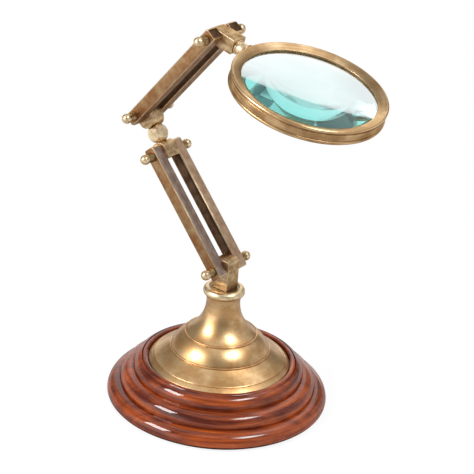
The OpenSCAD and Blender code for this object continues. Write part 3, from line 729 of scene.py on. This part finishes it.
def add_stem():
    """The turned stem with its flange, let a little into the ring."""
    start, end, into = HEAD_LEN + FACE_GAP, HEAD_LEN + STEM_LEN, 0.25
    path = [(0, start)] + rounded([(0, start), (FLANGE_R, start), (FLANGE_R, start + FLANGE_T),
                                   (STEM_R, start + FLANGE_T)], [0, 0.25, 0.35, 0])[1:]
    path += bowed((STEM_R, start + FLANGE_T), (STEM_FOOT_R, end), STEM_HOLLOW, 16)[1:]
    path += [(STEM_FOOT_R - 0.2, end + into), (0, end + into)]
    lathe("lens_stem_turned", path, "lens_group", ["lens_stem"], POLISHED, segments=96,
          place=AT_STEM @ turn(90))


def add_ring():
    """The lens ring with its bead and grooves, and the ring below the seam that holds the lens in."""
    top, b, band = RING_T / 2, TOP_BEAD / 2, RING_R - BAND_IN
    seam, low, lip = RETAINER - top, band - GROOVE, top - BEVEL - LIP_T
    under = top - TOP_BEAD
    seat_r, thread_r, lens_gap = LENS_R + 1.4, LENS_R + 1.38, 0.15
    path = [(LENS_R + lens_gap, lip), (OPEN_R, lip)]
    path += rounded([(OPEN_R, lip), (OPEN_R, top - BEVEL), (RING_R - b, top)], [0, 0.15, 0])[1:-1]
    path += arc(RING_R - b, top - b, b, 100, -62, 22)
    path += rounded([path[-1], (low, under), (low, under - GROOVE), (band, under - GROOVE),
                     (band, seam + GROOVE), (low, seam + GROOVE), (low, seam), (seat_r, seam),
                     (seat_r, lip - 1)], [0, 0, 0, 0.3, 0.3, 0, 0, 0, 0])[1:]
    ring = lathe("lens_ring_turned", path[::-1], "lens_group", ["lens_ring"], RING,
                 segments=320, place=AT_RING, closed=True)
    e, thread, opening = RETAINER / 2, 1.4, OPEN_R + 0.15
    path = [(thread_r, seam + thread), (thread_r, seam)] + arc(RING_R - e, seam - e, e, 90, -90, 20)
    path += rounded([(RING_R - e, -top), (opening, -top), (opening, -top + 2)], [0, 0.4, 0])[1:]
    path += [(LENS_R + lens_gap, -top + 2.4), (LENS_R + lens_gap, seam + thread)]
    retainer = lathe("retaining_ring_turned", path[::-1], "lens_group", ["retaining_ring"], RING,
                     segments=320, place=AT_RING, closed=True)
    for piece in (ring, retainer):
        # The inner wall and the lens seat take the darker brass, painted shade
        refinish(piece, SHADED, lambda r, z: r < LENS_R + 0.4 and z < lip + 0.1
                 or r < OPEN_R + 0.05 and z < top - BEVEL - 0.1)
        refinish(piece, SIDE, lambda r, z: r > RING_R - 0.95 and z < under + 0.3)


def add_lens():
    """The lens, curved alike on both sides, with a ground edge."""
    def sag(r):
        return SURFACE_R - math.sqrt(SURFACE_R * SURFACE_R - r * r)
    high = RING_T / 2 - BEVEL - LIP_T - FACE_GAP - (sag(LENS_R) - sag(OPEN_R))
    low = high - EDGE_T
    rise, count = sag(LENS_R), 64
    radii = [LENS_R * i / count for i in range(count + 1)]
    up = [(r, high + rise - sag(r)) for r in radii]
    down = [(r, low - rise + sag(r)) for r in radii]
    lens = lathe("lens_ground", down + up[::-1], "lens_group", ["lens"], GLASS, segments=256,
                 place=AT_RING)
    refinish(lens, LENS_EDGE, lambda r, z: r > LENS_R - 0.1)


add_base()
add_bell()
add_collar()
add_bars()
add_nuts()
add_blocks()
add_ball()
add_stem()
add_ring()
add_lens()
for hidden in ("post_pin", "elbow_lower_pin", "elbow_upper_pin", "head_pin", "elbow_stud", "draw_rod",
               "rod_nut", "rod_washer"):
    paint(hidden, STEEL)


def add_floor():
    """A white floor: camera and glass rays see it with a soft shadow, mirror rays dimmer near the object."""
    h, z = FLOOR_HALF, FLOOR_Z
    mesh = bpy.data.meshes.new("floor")
    mesh.from_pydata([(-h, -h, z), (h, -h, z), (h, h, z), (-h, h, z)], [], [(0, 1, 2, 3)])
    g = Graph(bpy.data.materials.new("floor"))
    rays = g.node("ShaderNodeLightPath").outputs
    mirror_or_glass = g.larger(rays["Is Glossy Ray"], rays["Is Transmission Ray"])
    shown = g.larger(rays["Is Camera Ray"], mirror_or_glass)
    away = g.cylinder()[3]
    near = g.times(shown, g.range(away, *SHADOW_TONE))
    shade = g.minus(g.add(near, PAPER), g.times(shown, PAPER))
    paper = g.node("ShaderNodeBsdfDiffuse", {"Color": g.mix(shade, (0, 0, 0), (1, 1, 1))})
    glossy = g.times(rays["Is Glossy Ray"], g.minus(1.0, rays["Is Transmission Ray"]))
    plain = g.times(g.minus(shown, glossy), g.range(away, *SHADOW_GLOW))
    mirrored = g.times(glossy, g.range(away, *MIRRORED_GLOW))
    glow = g.node("ShaderNodeEmission", {"Color": (1, 1, 1), "Strength": g.add(plain, mirrored)})
    both = g.node("ShaderNodeAddShader", {0: paper.outputs[0], 1: glow.outputs[0]})
    g.put(g.out.inputs[0], both.outputs[0])
    g.owner.cycles.emission_sampling = "NONE"
    mesh.materials.append(g.owner)
    floor = bpy.data.objects.new("floor", mesh)
    scene.collection.objects.link(floor)


def add_lamps():
    """Area lamps that face the object."""
    for name, direction, (width, depth), power, fades in LAMPS:
        data = bpy.data.lights.new(name, "AREA")
        data.shape, data.size, data.size_y, data.energy = "RECTANGLE", width, depth, power
        if fades:
            g = Graph(data, "ShaderNodeOutputLight", "ShaderNodeNewGeometry", "Parametric")
            off = g.node("ShaderNodeVectorMath", {0: g.coord, 1: (0.5, 0.5, 0)}, operation="DISTANCE")
            strength = g.range(off.outputs["Value"], *LAMP_FADE, "SMOOTHSTEP")
            g.put(g.out.inputs[0], g.node("ShaderNodeEmission", {"Strength": strength}).outputs[0])
        lamp = bpy.data.objects.new(name, data)
        way = Vector(direction).normalized()
        lamp.location = way * LAMP_DISTANCE + Vector(LAMP_AIM)
        lamp.rotation_euler = way.to_track_quat("Z", "Y").to_euler()
        scene.collection.objects.link(lamp)


def add_world():
    """White behind the object and through the glass; metal mirrors a studio, all else gets a plain fill."""
    scene.world = bpy.data.worlds.new("studio")
    g = Graph(scene.world, "ShaderNodeOutputWorld", place="Generated")
    rays = g.node("ShaderNodeLightPath").outputs
    glossy, through_glass = rays["Is Glossy Ray"], rays["Is Transmission Ray"]

    # The studio: a bright sweep behind the object with soft sides, then the patches and the dark screens
    off = g.math("ABSOLUTE", g.along(SWEEP_RIGHT))
    width = g.larger(g.times(g.minus(SWEEP_HALF, off), SWEEP_SOFT), 0.0)
    width = g.math("SMOOTH_MIN", width, 1.0)
    sweep = g.times(width, g.facing(SWEEP_BACK, *SWEEP_FOOT))
    sweep = g.times(sweep, g.facing((0, 0, 1), *SWEEP_TOP))
    bright = g.add(g.add(g.patch(*WALL), g.patch(*CEILING)), g.add(g.patch(*FRONT), sweep))
    bright = g.add(bright, g.add(g.patch(*PANEL), g.patch(*HORIZON)))
    studio = g.math("MINIMUM", g.larger(bright, g.patch(*TABLE)), STUDIO_TOP)
    studio = g.add(studio, STUDIO_BASE)
    for direction, start, full, left in DARK_SCREENS:
        studio = g.times(studio, g.facing(direction, start, full, 1.0, left))

    # Through the glass
    cells = g.node("ShaderNodeTexVoronoi", {"Vector": g.coord, "Scale": FACET_SCALE}).outputs["Color"]
    tone = g.add(g.node("ShaderNodeSeparateColor", {0: cells}).outputs[0], g.facing(*PALE_SIDE))
    through = g.larger(g.patch(*SIGHT), g.range(tone, *FACET_TONES))

    seen = g.larger(rays["Is Camera Ray"], g.times(through_glass, through))
    mirrored = g.times(studio, g.minus(glossy, through_glass))
    around = g.times(g.minus(1.0, g.larger(glossy, through_glass)), FILL)
    light = g.larger(seen, g.times(g.add(mirrored, around), STUDIO_LEVEL))
    back = g.node("ShaderNodeBackground", {"Color": (1, 1, 1), "Strength": light})
    g.put(g.out.inputs[0], back.outputs[0])


add_floor()
add_lamps()
add_world()
scene.view_settings.view_transform = "Standard"
# The light that the lens's edge shows has bounced to and fro inside the glass
scene.cycles.glossy_bounces = 16
scene.cycles.max_bounces = 20
